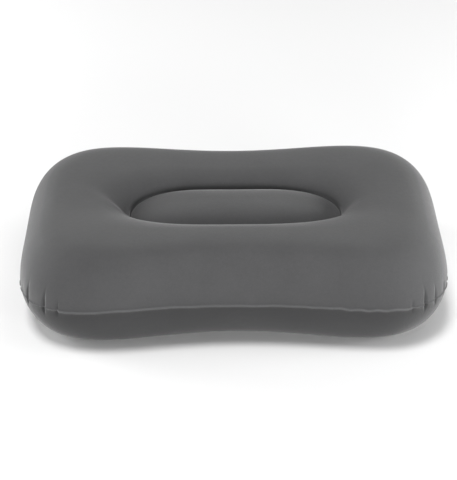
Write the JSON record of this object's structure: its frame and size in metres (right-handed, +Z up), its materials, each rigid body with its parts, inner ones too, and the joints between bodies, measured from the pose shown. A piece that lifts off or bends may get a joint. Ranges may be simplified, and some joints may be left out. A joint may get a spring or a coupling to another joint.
{
  "type": "inflatable camp pillow",
  "caption": "Inflatable camp pillow: flocked top and bottom sheets welded at a seam, waisted outline, crowned centre in an oval groove, push-in stem valve with hinged plug cap.",
  "frame": {"origin": "middle of the footprint, on the surface the pillow rests on", "axes": "+X along the pillow's length, -Y towards its front edge, +Y towards its rear edge, where the valve is, +Z up"},
  "size_m": [0.426, 0.2598, 0.1],
  "materials": {
    "flocked_sheet": "flocked",
    "plain_sheet": "satin",
    "dark_pvc": "satin",
    "pale_pvc": "satin"
  },
  "bodies": {
    "pillow": {"top_panel": "flocked_sheet", "bottom_panel": "flocked_sheet", "tie_band": "plain_sheet", "valve_flange": "dark_pvc", "valve_patch": "plain_sheet", "valve_boot": "dark_pvc"},
    "stem": {"valve_stem": "dark_pvc", "flap_seat": "pale_pvc", "cap_tether": "dark_pvc"},
    "cap": {"plug_cap": "dark_pvc"},
    "flap": {"check_flap": "pale_pvc"}
  },
  "joints": [
    {"name": "stem_pull_out", "type": "slide", "parent": "pillow", "child": "stem", "axis": [0, 0.9462, 0.3236], "range_m": [0, 0.012], "deforming": ["valve_boot"]},
    {"name": "cap_open", "type": "hinge", "parent": "stem", "child": "cap", "pos_m": [0, 0.11352, 0.08205], "axis": [1, 0, 0], "range_deg": [0, 150], "deforming": ["cap_tether"]},
    {"name": "flap_open", "type": "hinge", "parent": "stem", "child": "flap", "pos_m": [0, 0.09605, 0.07195], "axis": [-1, 0, 0], "range_deg": [0, 50], "stiffness_Nm_per_rad": 0.00002}
  ]
}
